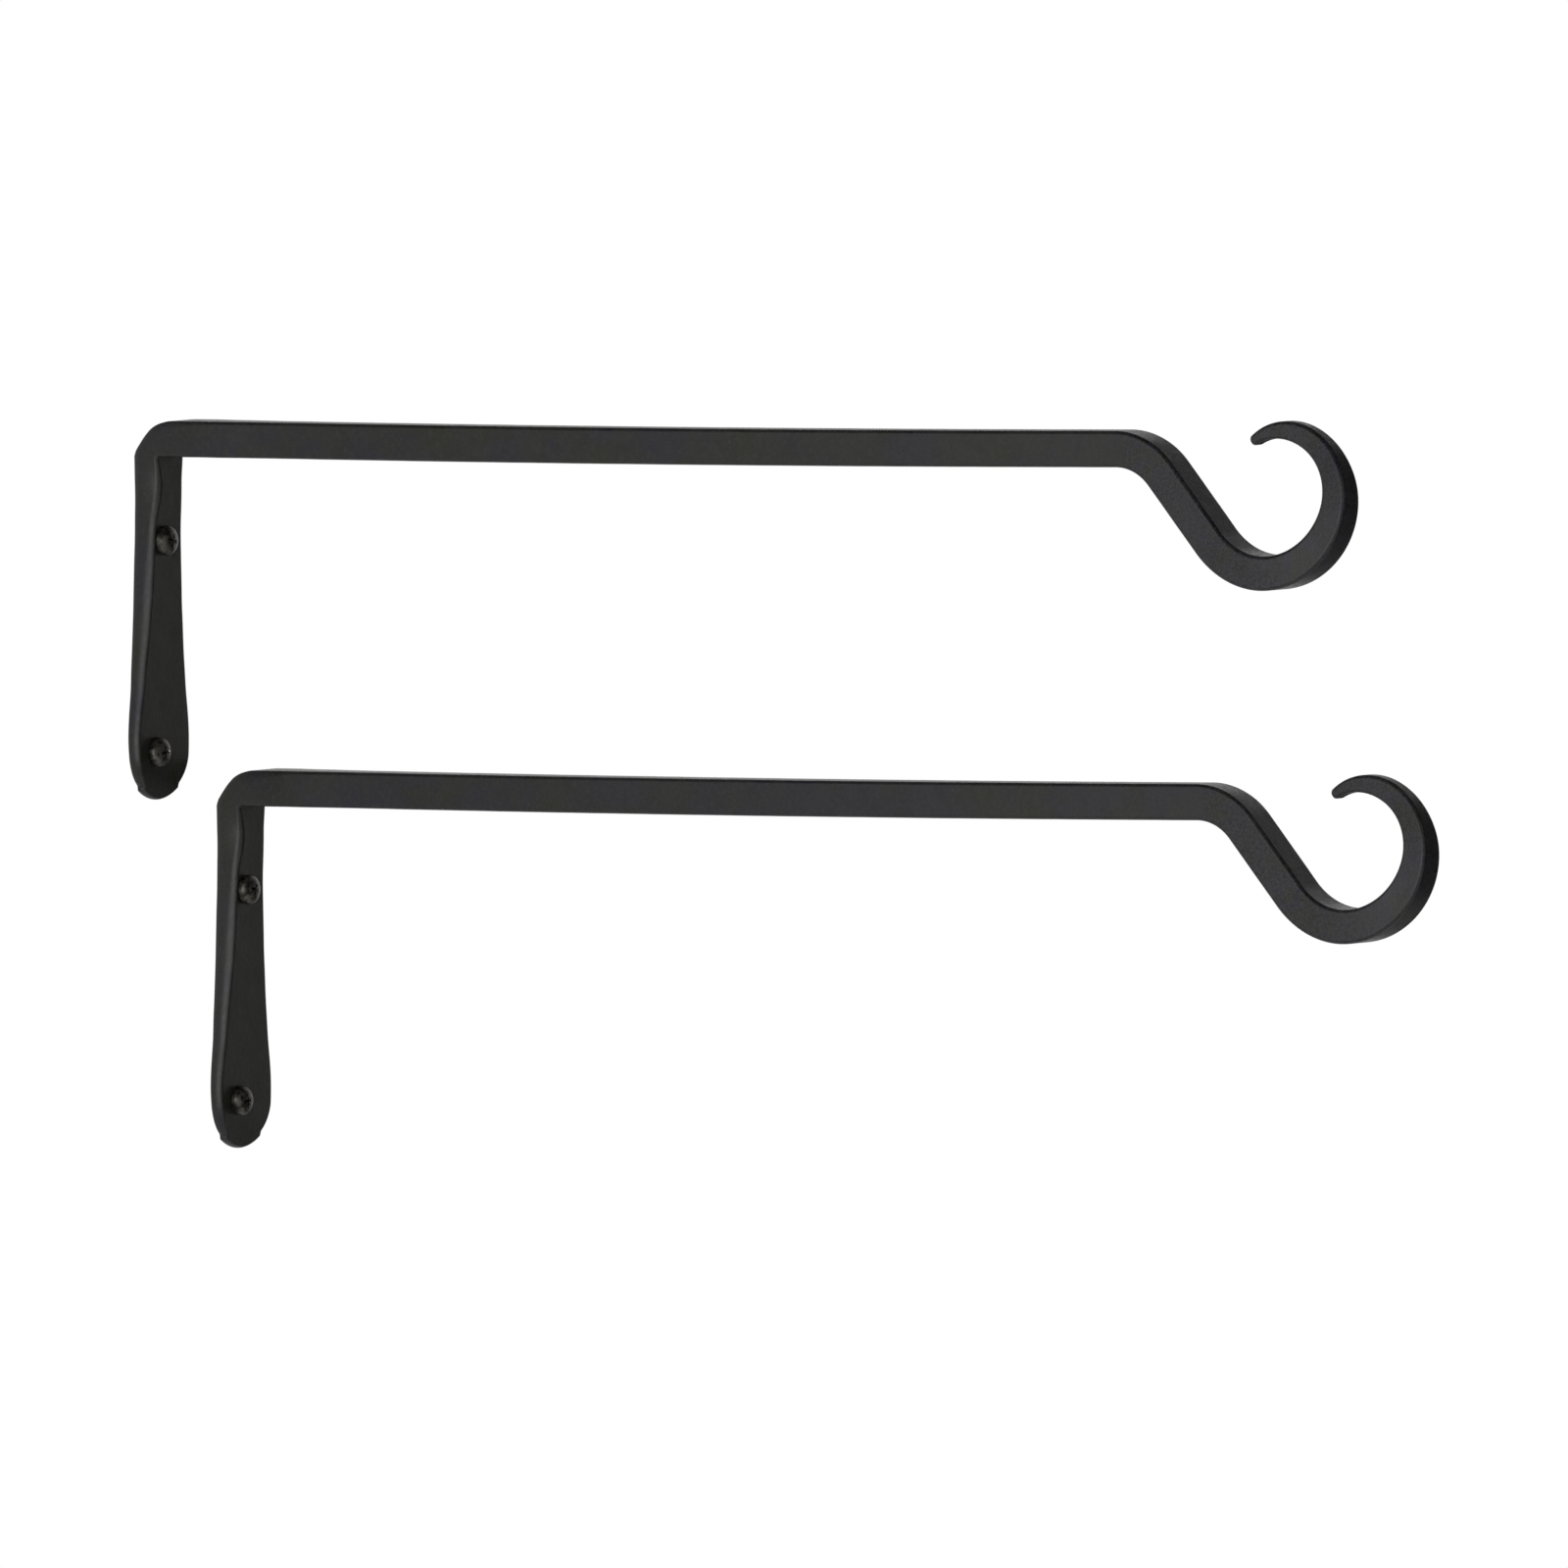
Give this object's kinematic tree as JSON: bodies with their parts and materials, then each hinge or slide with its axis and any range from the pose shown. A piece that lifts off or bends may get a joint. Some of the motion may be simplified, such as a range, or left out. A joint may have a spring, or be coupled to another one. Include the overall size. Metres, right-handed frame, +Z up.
{
  "type": "plant hanger",
  "caption": "Pair of forged square-bar wall hangers: flattened leg with pan-head screws, straight arm, bend down and open upturned hook with a small curled tip.",
  "frame": {"origin": "on the flat back of the upper hanger's leg, midway between its two screws", "axes": "+X out from the wall along the arm, +Y across the bar, +Z up along the leg"},
  "size_m": [0.4074, 0.0577, 0.1952],
  "materials": {
    "black_iron": "satin black powder coat over hammered iron",
    "dark_bronze": "oil-rubbed dark bronze screws"
  },
  "bodies": {
    "root": {"upper_hanger_bar": "black_iron", "upper_top_screw": "dark_bronze", "upper_bottom_screw": "dark_bronze", "lower_hanger_bar": "black_iron", "lower_top_screw": "dark_bronze", "lower_bottom_screw": "dark_bronze"}
  },
  "joints": []
}
